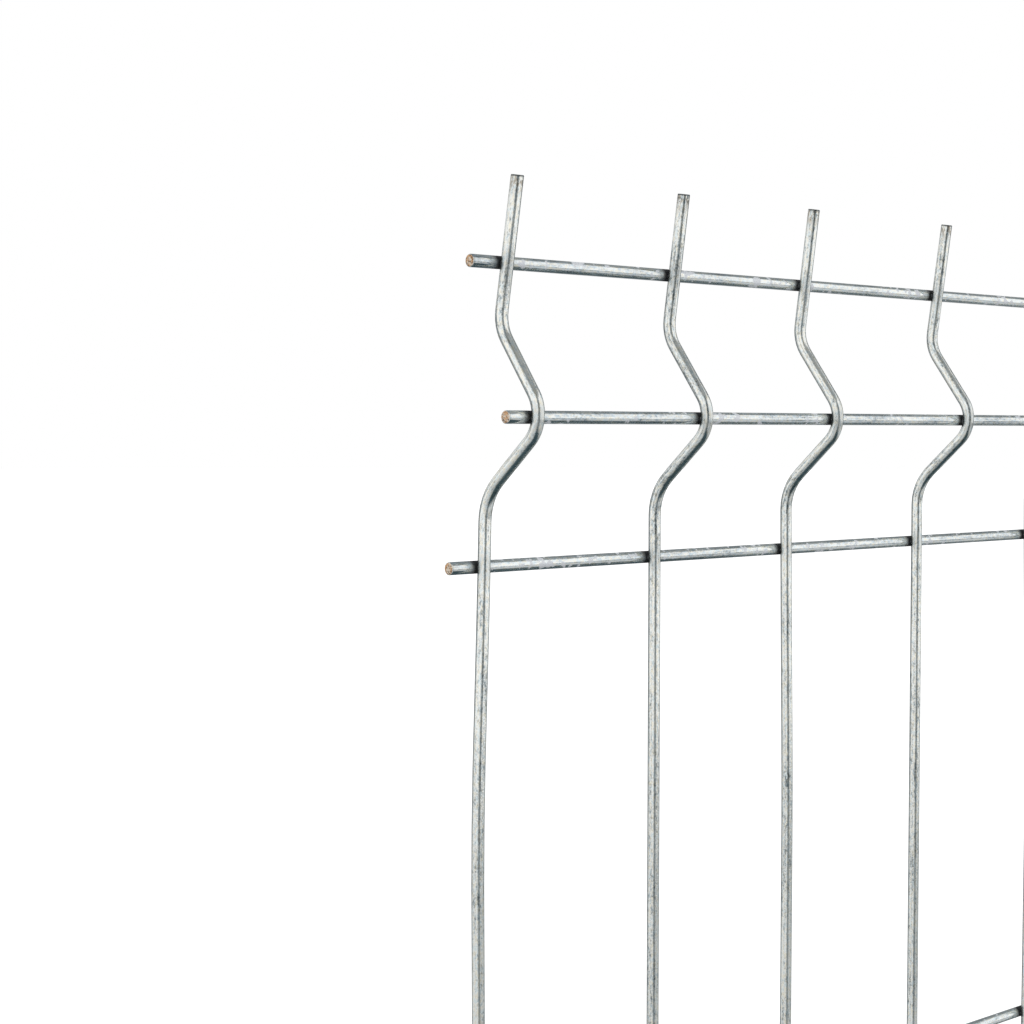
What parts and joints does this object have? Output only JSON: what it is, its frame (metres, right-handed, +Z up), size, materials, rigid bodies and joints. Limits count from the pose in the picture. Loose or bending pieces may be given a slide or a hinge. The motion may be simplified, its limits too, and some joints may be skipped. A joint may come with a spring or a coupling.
{
  "type": "welded mesh fence panel",
  "caption": "Rigid fence panel of galvanised wire: folded uprights welded to line wires behind them, a stiffening V fold along the top and the foot, free spikes above.",
  "frame": {"origin": "on the back of the lowest line wire that lies flat on the posts, in the middle of its free left end, where the left post's lowest clip holds it", "axes": "+X along the line wires to the right, +Z up, +Y out of the back towards the posts; the folds' crests and the uprights face -Y"},
  "size_m": [2.5001, 0.0314, 1.2202],
  "materials": {
    "upright_zinc": "hot-dip galvanised drawn wire, satin, blotchy",
    "line_wire_zinc": "hot-dip galvanised drawn wire, satin, with rust at the cut ends"
  },
  "bodies": {
    "root": {"upright_01": "upright_zinc", "upright_02": "upright_zinc", "upright_03": "upright_zinc", "upright_04": "upright_zinc", "upright_05": "upright_zinc", "upright_06": "upright_zinc", "upright_07": "upright_zinc", "upright_08": "upright_zinc", "upright_09": "upright_zinc", "upright_10": "upright_zinc", "upright_11": "upright_zinc", "upright_12": "upright_zinc", "upright_13": "upright_zinc", "upright_14": "upright_zinc", "upright_15": "upright_zinc", "upright_16": "upright_zinc", "upright_17": "upright_zinc", "upright_18": "upright_zinc", "upright_19": "upright_zinc", "upright_20": "upright_zinc", "upright_21": "upright_zinc", "upright_22": "upright_zinc", "upright_23": "upright_zinc", "upright_24": "upright_zinc", "upright_25": "upright_zinc", "upright_26": "upright_zinc", "upright_27": "upright_zinc", "upright_28": "upright_zinc", "upright_29": "upright_zinc", "upright_30": "upright_zinc", "upright_31": "upright_zinc", "upright_32": "upright_zinc", "upright_33": "upright_zinc", "upright_34": "upright_zinc", "line_wire_01": "line_wire_zinc", "line_wire_02": "line_wire_zinc", "line_wire_03": "line_wire_zinc", "line_wire_04": "line_wire_zinc", "line_wire_05": "line_wire_zinc", "line_wire_06": "line_wire_zinc", "line_wire_07": "line_wire_zinc", "line_wire_08": "line_wire_zinc", "line_wire_09": "line_wire_zinc", "line_wire_10": "line_wire_zinc"}
  },
  "joints": []
}
